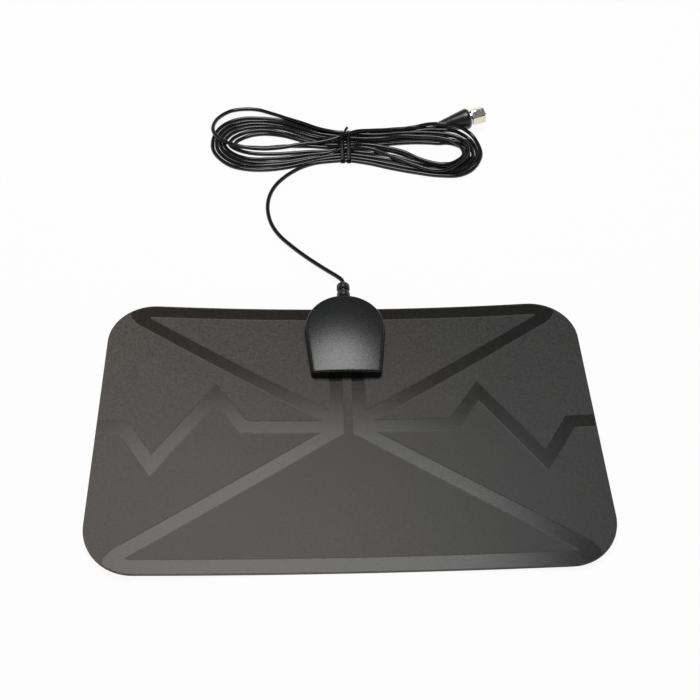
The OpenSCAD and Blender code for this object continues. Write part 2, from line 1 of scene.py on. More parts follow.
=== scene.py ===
# Looks of a flat indoor antenna: a curled laminated sheet with an embossed foil pattern,
# a small moulded housing, and a coax lead wound in a tied hank with a screw-on connector.
# Lengths are millimetres in the part's frame, +Z up, and become metres in the meshes.
import math

import bmesh
import bpy
from mathutils import Matrix, Vector
from mathutils.geometry import convex_hull_2d, delaunay_2d_cdt


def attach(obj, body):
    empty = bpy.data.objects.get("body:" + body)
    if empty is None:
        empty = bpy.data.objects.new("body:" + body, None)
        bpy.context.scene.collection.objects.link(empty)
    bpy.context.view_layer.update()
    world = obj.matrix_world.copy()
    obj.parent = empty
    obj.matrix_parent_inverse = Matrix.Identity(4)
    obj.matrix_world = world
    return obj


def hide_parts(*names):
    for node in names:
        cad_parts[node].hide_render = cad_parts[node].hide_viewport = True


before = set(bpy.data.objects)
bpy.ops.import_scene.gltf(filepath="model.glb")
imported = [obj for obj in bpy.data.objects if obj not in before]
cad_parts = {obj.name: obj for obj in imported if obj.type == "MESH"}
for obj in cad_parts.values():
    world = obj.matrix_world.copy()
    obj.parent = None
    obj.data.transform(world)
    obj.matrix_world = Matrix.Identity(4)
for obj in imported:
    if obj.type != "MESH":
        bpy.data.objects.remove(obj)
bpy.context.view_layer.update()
MM = 0.001


# The part's own sizes, as in the CAD. First the sheet, then the housing and its relief.
SHEET_W, SHEET_H, CORNER_R = 300, 184.5, 29.5
FAR_CURL_R, NEAR_CURL_R = 1490, 2320
FILM_T, FOIL_T = 0.25, 0.1
LAMINATE_T = 2 * FILM_T + FOIL_T
COVER_FRONT_Y, COVER_FRONT_HALF = 37.3, 22.4
COVER_R, COVER_MID_Y, COVER_CORNER_R = 26.1, 72.7, 2.4
COVER_WALL, BACK_COVER_T, SPLIT_Z = 1.5, 2, 0.25
CROWN_Z, CROWN_R, DRAFT, EDGE_R = 10, 178, 0.8, 1.2
CORD_D, CORD_Z = 3, 2.6
RIB_R, RIB_LEN, RIB_GAP, RIB_ROUND, RELIEF_CORE_R = 4.4, 5.2, 1.3, 1.5, 2.6
NECK_END_Y = COVER_MID_Y + COVER_R + 0.5
RELIEF_END_Y = NECK_END_Y + 2 * RIB_LEN + RIB_GAP + 1.7

# The sheet leans on its near edge and on the back cover's front edge. The shift along Y,
# rounded as in the CAD, puts the frame's origin in the middle of sheet and relief.
TILT = math.atan(BACK_COVER_T / (COVER_FRONT_Y + SHEET_H / 2))
LIFT = SHEET_H / 2 * math.sin(TILT) + LAMINATE_T * math.cos(TILT)
Y_SHIFT = round((RELIEF_END_Y - SHEET_H / 2) * math.cos(TILT) / 2, 4)
SEAT = Matrix.Translation((0, -Y_SHIFT, LIFT)) @ Matrix.Rotation(TILT, 4, "X")
CORD_EXIT = Vector((0, RELIEF_END_Y * math.cos(TILT) - CORD_Z * math.sin(TILT) - Y_SHIFT,
                    RELIEF_END_Y * math.sin(TILT) + CORD_Z * math.cos(TILT) + LIFT))

# The connector. Its boot lies on the floor along its side, so the axis rises by the
# cone's half angle. Places along the axis count from the boot's narrow end.
BOOT_LEN, BOOT_D, BOOT_TIP_D = 28, 16, 6.4
RISE = math.asin((BOOT_D - BOOT_TIP_D) / 2 / BOOT_LEN)
TURN = math.radians(11.7)
BOOT_END = Vector((104.6, 270.4, BOOT_D / 2 * math.cos(RISE)))
ON_CONNECTOR = (Matrix.Translation(BOOT_END) @ Matrix.Rotation(TURN, 4, "Z")
                @ Matrix.Rotation(math.pi / 2 - RISE, 4, "Y")
                @ Matrix.Translation((0, 0, -BOOT_LEN)))
NUT_U, NUT_AF, NUT_LEN = BOOT_LEN + 1, 11.1, 10.5
NUT_BORE_D, NUT_WALL, NECK_D, NECK_CLEAR = 9.3, 1.05, 7, 0.05
THREAD_PITCH, THREAD_DEPTH, ROWS_A_PITCH = 0.79, 0.22, 6

# The wire tie
TIE_T, TIE_W, TIE_PITCH, TIE_LEAN = 0.7, 3.2, 5.2, 0.35


# Camera: its place in metres, two of its axes and its lens
CAMERA_AT = Vector((-0.02775, -0.32039, 0.49426))
CAMERA_RIGHT = Vector((0.99872, -0.03757, 0.03400))
CAMERA_UP = Vector((0.00960, 0.79915, 0.60105))
CAMERA_LENS, SENSOR_W = 49.386, 36


def make_camera():
    data = bpy.data.cameras.new("camera")
    data.lens = CAMERA_LENS
    data.sensor_width = SENSOR_W
    data.clip_start = 10 * MM
    camera = bpy.data.objects.new("camera", data)
    right = CAMERA_RIGHT.normalized()
    up = (CAMERA_UP - right * CAMERA_UP.dot(right)).normalized()
    turn = Matrix((right, up, right.cross(up))).transposed().to_4x4()
    camera.matrix_world = Matrix.Translation(CAMERA_AT) @ turn
    bpy.context.collection.objects.link(camera)
    bpy.context.scene.camera = camera


# Mesh helpers. Points closer than MERGE millimetres become one.
MERGE = 0.001


def new_piece(name, bm, materials, sharp=30, closed=True):
    """Makes the object, with edges that turn by more than sharp degrees left crisp.
    An open sheet keeps the way that its faces were made."""
    mesh = bpy.data.meshes.new(name)
    if closed:
        bmesh.ops.recalc_face_normals(bm, faces=bm.faces)
    for face in bm.faces:
        face.smooth = True
    for edge in bm.edges:
        if len(edge.link_faces) == 2 and edge.calc_face_angle() > math.radians(sharp):
            edge.smooth = False
    bm.to_mesh(mesh)
    bm.free()
    for material in materials:
        mesh.materials.append(material)
    return new_object(name, mesh)


def new_object(name, data):
    obj = bpy.data.objects.new(name, data)
    bpy.context.collection.objects.link(obj)
    return obj


def outline_edges(bm, ring):
    """The edges of a closed ring of points."""
    verts = [bm.verts.new(Vector(p)) for p in ring]
    return [bm.edges.new(pair) for pair in zip(verts, verts[1:] + verts[:1])]


def loft(bm, rings):
    """Joins each closed ring of points to the next, and closes what stays open at the
    ends. Each pair of rings is bridged on its own, because faces that are there already
    would turn a flat pair the wrong way."""
    for a, b in zip(rings, rings[1:]):
        bmesh.ops.bridge_loops(bm, edges=outline_edges(bm, a) + outline_edges(bm, b))
    bmesh.ops.remove_doubles(bm, verts=bm.verts, dist=MERGE)
    ends = bmesh.ops.holes_fill(bm, edges=bm.edges)["faces"]
    bmesh.ops.poke(bm, faces=ends, center_mode="MEAN")


def turned(profile, steps=64):
    """A closed profile of (radius, along) pairs, turned round the Z axis."""
    bm = bmesh.new()
    edges = outline_edges(bm, [(r, 0, z) for r, z in profile])
    bmesh.ops.spin(bm, geom=bm.verts[:] + edges, cent=(0, 0, 0), axis=(0, 0, 1),
                   dvec=(0, 0, 0), angle=2 * math.pi, steps=steps, use_merge=True)
    bmesh.ops.remove_doubles(bm, verts=bm.verts, dist=MERGE)
    return bm


def put(bm, place):
    """Takes a mesh in millimetres to its place in the part, in metres."""
    bmesh.ops.transform(bm, matrix=Matrix.Scale(MM, 4) @ place, verts=bm.verts)


def arc(cx, cy, r, start, end, steps):
    """Points on an arc, with its angles in degrees."""
    angles = [math.radians(start + (end - start) * i / steps) for i in range(steps + 1)]
    return [(cx + r * math.cos(a), cy + r * math.sin(a)) for a in angles]


# The cord's route. LYING is the height of a strand on the floor, and RAISED that of one
# which starts to climb over its neighbours beside the tie.
LYING, RAISED = 1.5, 2.3
FREE_RUN = [(-0.6, 105, 6.2), (-3, 108.2, 5.8), (-8.6, 114, 4.6), (-17, 122.8, 2.8),
            (-26, 132, 1.8), (-35.2, 141.8, 1.5), (-42.8, 151, 1.5), (-48.2, 161.2, 1.5),
            (-50.8, 170.8, 1.5), (-51.6, 180, 1.5), (-50.6, 189.6, 1.5), (-47, 200, 1.5),
            (-40.4, 209.6, 1.5), (-33.2, 216.6, 1.5), (-25.2, 222.2, 1.5), (-15, 226.2, 1.5),
            (-6, 227.6, 1.5)]
# Left lobe, from the waist's far side round to its near side: where the outermost nested
# strand, B, and the innermost one, G, pass each station. The shares place the others.
LEFT_LANES = [
    ((-12, 260.6), (-12, 246)), ((-26, 266.8), (-26, 250)), ((-43, 274.6), (-42, 256)),
    ((-60, 277), (-57, 258.6)), ((-71.5, 276.8), (-66, 256.6)), ((-80.8, 273.4), (-72.4, 253)),
    ((-88, 267.3), (-76, 249.8)), ((-92.9, 258), (-77, 247)), ((-94.3, 248.8), (-76.3, 245)),
    ((-93.4, 240.2), (-72.6, 243.9)), ((-87.9, 230.4), (-66.6, 243.4)),
    ((-78.9, 222.6), (-60, 243.1)), ((-69.4, 219.4), (-53, 243)), ((-55, 218.4), (-44, 243.3)),
    ((-38, 221), (-32, 243.8)), ((-22, 226.2), (-20, 243.6)), ((-8, 230.4), (-8, 242.6))]
LEFT_FAR = {"B": 0, "C": 0.19, "D": 0.37, "E": 0.56, "F": 0.78, "G": 1}
LEFT_NEAR = {"B": 0, "C": 0.15, "D": 0.3, "E": 0.45, "F": 0.7, "G": 1}
# The shares change over these stations, and only low strands lie flat outside the last
SHARE_STARTS, SHARE_STATIONS = 6, 4
LOW_STRANDS, FLAT_STATIONS = "BDF", range(3, 13)
# A, the loose outermost loop of the left lobe, which ends on top as the innermost
LOOSE_LOOP = [(-12, 261, 4.4), (-26, 268.8, 3.8), (-38, 275.8, 2.6), (-50, 282.8, 1.6),
              (-61.2, 287.4, 1.5), (-71.6, 288, 1.5), (-81.5, 285.7, 1.6),
              (-89.2, 278.6, 2.4), (-93.6, 269, 3.8), (-94.2, 259, 4.7), (-89.6, 250, 4.9),
              (-80.6, 243.8, 4.8), (-68.7, 240.1, 4.4), (-55.6, 239.4, 3.6),
              (-43.3, 240.8, 3.4), (-26.3, 243.9, 4.4), (-12.3, 245.8, 4.7)]
# Right lobe, from the waist's near side round to its far side: the outermost strand, P1,
# and the innermost one, P5
RIGHT_LANES = [
    ((22, 226), (22, 241.5)), ((40, 220.3), (42, 239)), ((57.9, 215.6), (55, 233)),
    ((75.6, 212.2), (66, 228)), ((92.4, 212.9), (75, 225)), ((100.8, 218), (84, 225)),
    ((107, 226.6), (91, 226)), ((110.2, 236.9), (96, 230)), ((109, 246.5), (97.4, 234.5)),
    ((104.2, 257), (97.5, 240)), ((99, 259.8), (95.5, 243.8)), ((93, 261.6), (91, 247)),
    ((86, 261.6), (85, 248.5)), ((79, 262.5), (79, 248.1)), ((72, 264.2), (73, 248.6)),
    ((61, 264.6), (63, 249)), ((50, 264), (50, 248.4)), ((38, 261.5), (37, 246.8)),
    ((21, 259.2), (21, 245.4))]
RIGHT_SHARE = {"P1": 0, "P2": 0.22, "P3": 0.46, "P4": 0.72, "P5": 1}
# Heights of the strands that lean on the boot's narrow end, by station
RIGHT_HEIGHT = {
    "P1": {8: 2, 9: 3.4, 10: 5.7, 11: 7.4, 12: 9, 13: 8.6, 14: 6.8, 15: 3.6, 16: 2},
    "P2": {10: 3, 11: 4.6, 12: 5.6, 13: 5.2, 14: 4.2, 15: 2.6, 16: 1.7},
    "P3": {11: 2.4, 12: 3, 13: 3, 14: 2.6}}
# R2 and R3, two turns of the right lobe that cross over the nested ones
CROSSINGS = {
    "R2": [(22.4, 239.4, 4.6), (40.3, 230.2, 4.6), (57.8, 220.4, 4.6), (71.9, 214.6, 4.6),
           (81, 215, 4.6), (88.6, 219.8, 4.6), (96.4, 227.8, 4.6), (100.2, 236, 4.6),
           (99.4, 244.4, 4.6), (94.6, 251, 4.6), (84.5, 254.4, 5.2), (70.5, 256.4, 5),
           (51.5, 256.4, 4.6), (32.4, 254.4, 4.6), (18, 254.8, 4.6)],
    "R3": [(22.6, 243, 4.6), (36.3, 240, 4.6), (49.9, 235.2, 4.6), (62, 227, 4.6),
           (72.7, 222.4, 4.6), (81.6, 221, 4.6), (90.4, 225.1, 4.6), (95.9, 231.9, 4.6),
           (95, 240.1, 4.6), (88.4, 247.6, 4.6), (77.5, 251.2, 4.8), (65.4, 252.4, 4.6),
           (51.2, 253.2, 4.6), (36, 250.4, 4.6), (20, 249.8, 4.6)]}
# Where each strand lies under the tie: how far back, and how high
WAIST_X = 6.5
NEAR_WAIST = {"free": (227.9, 2.2), "B": (231.3, 2.2), "C": (234.7, 2.2), "D": (238.1, 2.2),
              "F": (241.5, 2.2), "E": (237.9, 5.2), "G": (241.6, 5.2)}
FAR_WAIST = {"P1": (258.6, 2.2), "P2": (255.2, 2.2), "P3": (251.8, 2.2), "P4": (248.4, 2.2),
             "P5": (245, 2.2), "R3": (250.1, 5.2), "R2": (255.4, 5.2)}
# Off the top of the hank and into the boot
LAST_RUN = [(-3, 247.2, 6.2), (WAIST_X, 250.4, 8), (16, 254.8, 7.6), (26, 257.6, 6),
            (37, 259.2, 5.2), (47, 260.6, 5), (57, 261.6, 4.8), (68, 263, 3.4)]
WINDING = ["P1", "B", "P2", "C", "P3", "D", "P4", "F", "P5", "G", "R3", "E", "R2"]
IN_RELIEF, IN_BOOT = 0.8, 3


def between(pair, share, z):
    (ax, ay), (bx, by) = pair
    return (ax + (bx - ax) * share, ay + (by - ay) * share, z)


def left_strand(name):
    points = []
    for station, pair in enumerate(LEFT_LANES):
        part = min(max((station - SHARE_STARTS) / SHARE_STATIONS, 0), 1)
        share = LEFT_FAR[name] * (1 - part) + LEFT_NEAR[name] * part
        flat = name in LOW_STRANDS or station in FLAT_STATIONS
        points.append(between(pair, share, LYING if flat else RAISED))
    return points


def right_strand(name):
    heights = RIGHT_HEIGHT.get(name, {})
    return [between(pair, RIGHT_SHARE[name], heights.get(station, LYING))
            for station, pair in enumerate(RIGHT_LANES)]


def cord_route():
    points = [CORD_EXIT - Vector((0, IN_RELIEF, 0)), CORD_EXIT] + FREE_RUN
    points.append((WAIST_X, *NEAR_WAIST["free"]))
    for name in WINDING:
        if name in LEFT_FAR:
            points += left_strand(name)
            points.append((WAIST_X, *NEAR_WAIST[name]))
        else:
            points += CROSSINGS[name] if name in CROSSINGS else right_strand(name)
            points.append((WAIST_X, *FAR_WAIST[name]))
    points += LOOSE_LOOP + LAST_RUN
    return points + [ON_CONNECTOR @ Vector((0, 0, u)) for u in (0, IN_BOOT)]


def direction(before, p, after):
    """The way of a smooth line at p, also where its points are unevenly spaced."""
    d0, d1 = (p - before).length, (after - p).length
    if not d0 or not d1:
        return (after - before) / (d0 + d1)
    return ((p - before) * (d1 / d0) + (after - p) * (d0 / d1)) / (d0 + d1)


def make_cord(material):
    points = [Vector(p) * MM for p in cord_route()]
    curve = bpy.data.curves.new("cord", "CURVE")
    curve.dimensions = "3D"
    curve.bevel_depth = CORD_D / 2 * MM
    curve.bevel_resolution = 4
    curve.resolution_u = 6
    curve.use_fill_caps = True
    line = curve.splines.new("BEZIER")
    line.bezier_points.add(len(points) - 1)
    befores, afters = points[:1] + points[:-1], points[1:] + points[-1:]
    for knot, before, p, after in zip(line.bezier_points, befores, points, afters):
        along = direction(before, p, after)
        knot.co = p
        knot.handle_left_type = knot.handle_right_type = "FREE"
        knot.handle_left = p - along * (p - before).length / 3
        knot.handle_right = p + along * (after - p).length / 3
    curve.materials.append(material)
    obj = new_object("cord", curve)
    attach(obj, "antenna")
    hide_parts("coax_cord", "cord_hank", "cord_tail")
    return obj


# Material helpers. Noise mostly lies between these two values.
NOISE_LOW, NOISE_HIGH = 0.3, 0.7


def linear(code):
    """A hex sRGB colour as the linear value that shaders take."""
    parts = [int(code[i:i + 2], 16) / 255 for i in (1, 3, 5)]
    return tuple(c / 12.92 if c <= 0.04045 else ((c + 0.055) / 1.055) ** 2.4
                 for c in parts) + (1,)


def new_material(name):
    material = bpy.data.materials.new(name)
    material.use_nodes = True
    tree = material.node_tree
    tree.nodes.clear()
    return material, tree


def add(tree, kind, settings=None, **links):
    """Adds a node. settings are its own attributes. links are its sockets, by name with
    underscores for spaces, or by number as i0: a value, or an (other node, socket) pair."""
    node = tree.nodes.new(kind)
    for key, value in (settings or {}).items():
        setattr(node, key, value)
    for key, value in links.items():
        number = key[1:] if key[0] == "i" else ""
        socket = node.inputs[int(number) if number.isdigit() else key.replace("_", " ")]
        if isinstance(value, tuple) and hasattr(value[0], "outputs"):
            tree.links.new(value[0].outputs[value[1]], socket)
        else:
            socket.default_value = value
    return node


def shaded(tree, factor, low, high, first, second):
    """Goes from the first hex colour to the second as factor goes from low to high."""
    part = add(tree, "ShaderNodeMapRange", Value=factor, From_Min=low, From_Max=high)
    both = add(tree, "ShaderNodeMix", {"data_type": "RGBA"}, i0=(part, "Result"),
               i6=linear(first), i7=linear(second))
    return both, 2


def plastic(name, colour, rough, grain, depth, specular=0.5, patches=None):
    """grain is the width of the surface's texture and depth its height, in millimetres.
    patches is a second colour, which it drifts to in patches of about 36 mm."""
    material, tree = new_material(name)
    place = add(tree, "ShaderNodeTexCoord")
    fine = add(tree, "ShaderNodeTexNoise", Vector=(place, "Object"), Scale=1 / (grain * MM),
               Detail=3.0, Roughness=0.6)
    gloss = add(tree, "ShaderNodeMapRange", Value=(fine, "Fac"), From_Min=NOISE_LOW,
                From_Max=NOISE_HIGH, To_Min=rough - 0.04, To_Max=rough + 0.04)
    bump = add(tree, "ShaderNodeBump", Height=(fine, "Fac"), Distance=depth * MM, Strength=1.0)
    tint = linear(colour)
    if patches:
        broad = add(tree, "ShaderNodeTexNoise", Vector=(place, "Object"), Scale=1 / (36 * MM))
        tint = shaded(tree, (broad, "Fac"), 0.35, 0.68, colour, patches)
    shader = add(tree, "ShaderNodeBsdfPrincipled", Base_Color=tint,
                 Roughness=(gloss, "Result"), Normal=(bump, "Normal"),
                 Specular_IOR_Level=specular)
    add(tree, "ShaderNodeOutputMaterial", Surface=(shader, "BSDF"))
    return material


def metal(name, colour, rough, grain, depth, tarnish_and_gap_shade=None):
    """Bare or plated metal with faint tool marks, grain wide and depth high, in millimetres.
    Its second colour goes into the marks: tarnish on plating, painted shade in a braid's gaps."""
    material, tree = new_material(name)
    place = add(tree, "ShaderNodeTexCoord")
    fine = add(tree, "ShaderNodeTexNoise", Vector=(place, "Object"), Scale=1 / (grain * MM),
               Detail=4.0)
    gloss = add(tree, "ShaderNodeMapRange", Value=(fine, "Fac"), From_Min=NOISE_LOW,
                From_Max=NOISE_HIGH, To_Min=rough - 0.05, To_Max=rough + 0.05)
    bump = add(tree, "ShaderNodeBump", Height=(fine, "Fac"), Distance=depth * MM, Strength=0.6)
    tint = linear(colour)
    if tarnish_and_gap_shade:
        tint = shaded(tree, (fine, "Fac"), 0.35, NOISE_HIGH, colour, tarnish_and_gap_shade)
    shader = add(tree, "ShaderNodeBsdfPrincipled", Base_Color=tint, Metallic=1.0,
                 Roughness=(gloss, "Result"), Normal=(bump, "Normal"))
    add(tree, "ShaderNodeOutputMaterial", Surface=(shader, "BSDF"))
    return material


def film(name, right, left, rough, depth, specular, speckle):
    """Laminate film whose colour goes from its right one to its lighter, warmer left one across
    the sheet, in broad clouds: painted light, as if the sheet were lit from the left.
    Its 1 mm grain and 1.6 mm speckle are coarser than the real ones, so that they show.
    speckle is how much the colour varies."""
    material, tree = new_material(name)
    place = add(tree, "ShaderNodeTexCoord")
    axes = add(tree, "ShaderNodeSeparateXYZ", Vector=(place, "Object"))
    # Painted light: the colour gets lighter and warmer towards the left, in broad clouds
    across = add(tree, "ShaderNodeMapRange", Value=(axes, "X"), From_Min=-SHEET_W / 2 * MM,
                 From_Max=SHEET_W / 2 * MM)
    cloud = add(tree, "ShaderNodeTexNoise", Vector=(place, "Object"), Scale=1 / (110 * MM),
                Detail=3.0)
    painted_light_drift = add(tree, "ShaderNodeMath", {"operation": "MULTIPLY_ADD"},
                i0=(cloud, "Fac"), i1=0.35, i2=(across, "Result"))
    tint = shaded(tree, (painted_light_drift, "Value"), 0.1, 1.0, left, right)
    speck = add(tree, "ShaderNodeTexNoise", Vector=(place, "Object"), Scale=1 / (1.6 * MM))
    level = add(tree, "ShaderNodeMapRange", Value=(speck, "Fac"), From_Min=NOISE_LOW,
                From_Max=NOISE_HIGH, To_Min=1 - speckle, To_Max=1 + speckle)
    painted_light_and_speckle = add(tree, "ShaderNodeVectorMath", {"operation": "SCALE"}, i0=tint,
               Scale=(level, "Result"))
    gloss = add(tree, "ShaderNodeMapRange", Value=(speck, "Fac"), From_Min=NOISE_LOW,
                From_Max=NOISE_HIGH, To_Min=rough * 0.88, To_Max=rough * 1.12)
    fine = add(tree, "ShaderNodeTexNoise", Vector=(place, "Object"), Scale=1 / (1.05 * MM),
               Detail=4.0, Roughness=0.65)
    bump = add(tree, "ShaderNodeBump", Height=(fine, "Fac"), Distance=depth * MM, Strength=1.0)
    shader = add(tree, "ShaderNodeBsdfPrincipled", Base_Color=(painted_light_and_speckle, "Vector"),
                 Roughness=(gloss, "Result"), Normal=(bump, "Normal"),
                 Specular_IOR_Level=specular)
    add(tree, "ShaderNodeOutputMaterial", Surface=(shader, "BSDF"))
    return material


# Materials of the pieces in view
def matt_film():
    # Matt embossed PET film: a soft even sheen over a faint speckle, with painted light that
    # makes its left side lighter and warmer
    return film("matt embossed PET film", "#2a2b29", "#49423c", rough=0.4, depth=0.05,
                specular=0.23, speckle=0.42)


def pressed_film():
    # The same film pressed flat over the foil: its narrower sheen makes the strips darker
    # than the film round them away from the light and brighter in it. Their lighter, warmer
    # left side is painted light.
    return film("PET film pressed over foil", "#1b1c1a", "#2c241d", rough=0.18, depth=0.002,
                specular=0.22, speckle=0.15)


def cord_pvc():
    # Soft PVC drawn smooth through a die: a narrow bright line along each strand
    return plastic("extruded PVC jacket", "#070808", rough=0.12, grain=6.7, depth=0.001)


def housing_abs():
    # ABS moulded in a spark eroded die, whose grain spreads the light into a broad glow.
    # The real grain is finer, and this one is as coarse as it needs to show.
    return plastic("spark textured ABS", "#0e0f10", rough=0.29, grain=1.1, depth=0.04,
                   specular=0.44)


def relief_pvc():
    # Soft PVC moulded on the cord: a dull black
    return plastic("moulded soft PVC", "#131414", rough=0.4, grain=0.67, depth=0.02)


def boot_pvc():
    # PVC from a polished die: satin, with a soft light along the cone
    return plastic("moulded satin PVC", "#121313", rough=0.3, grain=0.67, depth=0.01)


def nickel_plate():
    # Bright nickel over turned brass: warm white facets like mirrors
    return metal("bright nickel plate", "#e4dfd4", rough=0.1, grain=2, depth=0.002,
                 tarnish_and_gap_shade="#d8d0c0")


def tie_pvc():
    # Thin PVC drawn over flat wire: nearly black, with little sheen
    return plastic("PVC coated tie wire", "#060606", rough=0.25, grain=2.5, depth=0.01,
                   specular=0.12)


# Materials of the CAD's own pieces, mostly held inside
def rolled_foil():
    # Aluminium from smooth rolls: a bright satin grey
    return metal("rolled aluminium foil", "#b9bcc0", rough=0.3, grain=3.3, depth=0.01)


def back_film_pet():
    # Matt PET film: an even dark grey with no glint
    return plastic("matt PET back film", "#1d1d1d", rough=0.6, grain=0.38, depth=0.02)


def back_cover_abs():
    # ABS from a blasted die: duller than the top cover
    return plastic("matt moulded ABS", "#17181a", rough=0.5, grain=0.42, depth=0.03)


def zinc_plate():
    # Zinc plated steel: a cool grey with soft glints
    return metal("zinc plated steel", "#9a9da1", rough=0.32, grain=2.5, depth=0.01)


def solder_mask():
    # Lacquer over a glass fibre board: glossy green, a little uneven
    return plastic("solder mask", "#1f5a37", rough=0.3, grain=1.4, depth=0.01,
                   patches="#1a5030")


def spring_brass():
    # Rolled brass strip: a bright yellow
    return metal("rolled spring brass", "#c8a24a", rough=0.25, grain=2.5, depth=0.01)


def ferrite():
    # Pressed and sintered powder: a rough charcoal grey
    return plastic("sintered ferrite", "#33363a", rough=0.55, grain=0.83, depth=0.03)


def enamelled_copper():
    # Drawn copper under clear enamel: a deep orange with sharp glints
    return metal("enamelled copper wire", "#a4501f", rough=0.25, grain=2, depth=0.01)


def chip_ceramic():
    # Fired ceramic: a matt tan
    return plastic("fired chip ceramic", "#a88c63", rough=0.4, grain=1.1, depth=0.01)


def tin_plate():
    # Tin plated steel strip: a pale satin grey
    return metal("tin plated steel", "#b9bcc0", rough=0.3, grain=2.5, depth=0.01)


def tinned_braid():
    # Woven tinned copper: grey, with painted shade for the dark gaps between its 0.55 mm bundles
    return metal("tinned copper braid", "#a7a9ac", rough=0.35, grain=0.55, depth=0.1,
                 tarnish_and_gap_shade="#6f7276")


def foamed_pe():
    # Foamed polyethylene: a soft off-white
    return plastic("foamed polyethylene", "#e9e7df", rough=0.5, grain=1.1, depth=0.02)


def copper_clad():
    # Drawn copper clad steel: orange and smooth
    return metal("copper clad steel wire", "#c07a3a", rough=0.25, grain=2.5, depth=0.01)


def solder():
    # Solder set from the melt: smooth and pale
    return metal("soft solder", "#c9cbcd", rough=0.25, grain=3.3, depth=0.01)


def pin_copper():
    # The cord's own wire, cut bare and handled: a dark copper
    return metal("bare copper pin", "#6f5236", rough=0.25, grain=2.5, depth=0.01)


# The sheet. GRID is the greatest distance between points on its long edges, and the
# emboss rises over EMBOSS_RUN beside each strip. Crossings within SNAP become one point.
STRIP_W, FOIL_MARGIN, FEED_GAP, FEED_W, BAR_Y = 8, 0.9, 5.6, 8.2, 1.8
ZIGZAG = [(0, BAR_Y), (63.6, BAR_Y), (81, 25.5), (116.5, -25), (134.5, 0.5), (150, 0.5)]
UPPER_SLOPE, LOWER_SLOPE, TIP_X, TIP_R = 0.607, 0.647, 131, 6.4
FEED_FOOT_Y, FEED_TOP_Y = BAR_Y - 5.6, COVER_FRONT_Y + 24.7
EMBOSS, EMBOSS_RUN = 0.05, 0.8
GRID = 5
TIP_STEPS, CORNER_STEPS = 32, 20
SNAP = 1e-4


def curl(x, y, z=0.0):
    """The curled sheet's height where it is z above the top film's middle line. Each
    surface is part of a blunt cone, because the far edge curls more tightly."""
    slope = (NEAR_CURL_R - FAR_CURL_R) / SHEET_H
    angle = math.atan(slope)
    c, s, t = math.cos(angle), math.sin(angle), math.tan(angle)
    from_apex = y - SHEET_H / 2 - FAR_CURL_R / slope
    reach = c * from_apex + z / s
    qa = c * c - t * t * s * s
    qb = 2 * c * s * from_apex + 2 * t * t * s * reach
    qc = x * x + s * s * from_apex * from_apex - t * t * reach * reach
    return (-qb - math.sqrt(qb * qb - 4 * qa * qc)) / (2 * qa)


def strip_side(points, offset):
    """One edge of a flat strip along points, mitred at each corner."""
    edge = []
    for i, p in enumerate(points):
        ways = [(b - a).normalized() for a, b in zip(points, points[1:])][max(i - 1, 0):i + 1]
        first, last = Vector((-ways[0].y, ways[0].x)), Vector((-ways[-1].y, ways[-1].x))
        edge.append(p + offset * (first + last) / (1 + first.dot(last)))
    return edge


def strip(points, w):
    """Outline of a flat strip along points."""
    points = [Vector(p) for p in points]
    return strip_side(points, -w / 2) + strip_side(points, w / 2)[::-1]


def divided(shape):
    """The polygon with points added on its long edges, so that they follow the curl."""
    points = []
    for a, b in zip(shape, shape[1:] + shape[:1]):
        parts = max(1, math.ceil((b - a).length / GRID))
        points += [a.lerp(b, k / parts) for k in range(parts)]
    return points


def rectangle(x0, y0, x1, y1):
    return [Vector(p) for p in ((x0, y0), (x1, y0), (x1, y1), (x0, y1))]


def rounded(w, h, r):
    points = []
    for cx, cy, start in ((1, -1, -90), (1, 1, 0), (-1, 1, 90), (-1, -1, 180)):
        points += arc(cx * (w / 2 - r), cy * (h / 2 - r), r, start, start + 90, CORNER_STEPS)
    return [Vector(p) for p in points]


def disc(x, y, r):
    return [Vector(p) for p in arc(x, y, r, 0, 360 - 360 / TIP_STEPS, TIP_STEPS - 1)]


def diagonal(slope, base, w, start_x):
    """A diagonal strip, which starts upright at the gap and ends square at its tip."""
    reach = math.hypot(1, slope)
    start = Vector((start_x, base + slope * start_x))
    end = Vector((TIP_X, base + slope * TIP_X))
    rise = Vector((0, w / 2 * reach))
    square = w / 2 * Vector((-slope, 1)) / reach
    return [start - rise, end - square, end + square, start + rise]


def foil_shapes(grow):
    """The foil's strips on both sides, each a polygon, wider by grow on each side."""
    w = STRIP_W + 2 * grow
    inner = FEED_GAP / 2 - grow
    edge_y = SHEET_H / 2 - FOIL_MARGIN - STRIP_W / 2
    tip_y = edge_y + STRIP_W / 2 - TIP_R
    upper_y = tip_y - STRIP_W / 2 - UPPER_SLOPE * TIP_X
    lower_y = LOWER_SLOPE * TIP_X - tip_y + STRIP_W / 2
    shapes = [rectangle(inner, FEED_FOOT_Y - grow, inner + FEED_W + 2 * grow, FEED_TOP_Y),
              strip([(inner, BAR_Y)] + ZIGZAG[1:], w),
              diagonal(UPPER_SLOPE, upper_y, w, inner),
              diagonal(-LOWER_SLOPE, lower_y, w, inner)]
    for side in (-1, 1):
        # the photograph shows the near strip running on across the middle
        start = inner if side > 0 else 0
        shapes.append(rectangle(start, side * edge_y - w / 2, TIP_X, side * edge_y + w / 2))
        shapes.append(disc(TIP_X, side * tip_y, TIP_R + grow))
        shapes.append(disc(TIP_X, side * (tip_y - STRIP_W / 2), w / 2))
    limit = SHEET_W / 2 - FOIL_MARGIN + grow
    shapes = [[Vector((min(p.x, limit), p.y)) for p in shape] for shape in shapes]
    return shapes + [[Vector((-p.x, p.y)) for p in shape[::-1]] for shape in shapes]


def inside(p, shape):
    """Whether p is in the polygon, by the sides that a line from it crosses."""
    crossed = False
    for a, b in zip(shape, shape[-1:] + shape[:-1]):
        if (a.y > p.y) != (b.y > p.y):
            if p.x < a.x + (p.y - a.y) / (b.y - a.y) * (b.x - a.x):
                crossed = not crossed
    return crossed


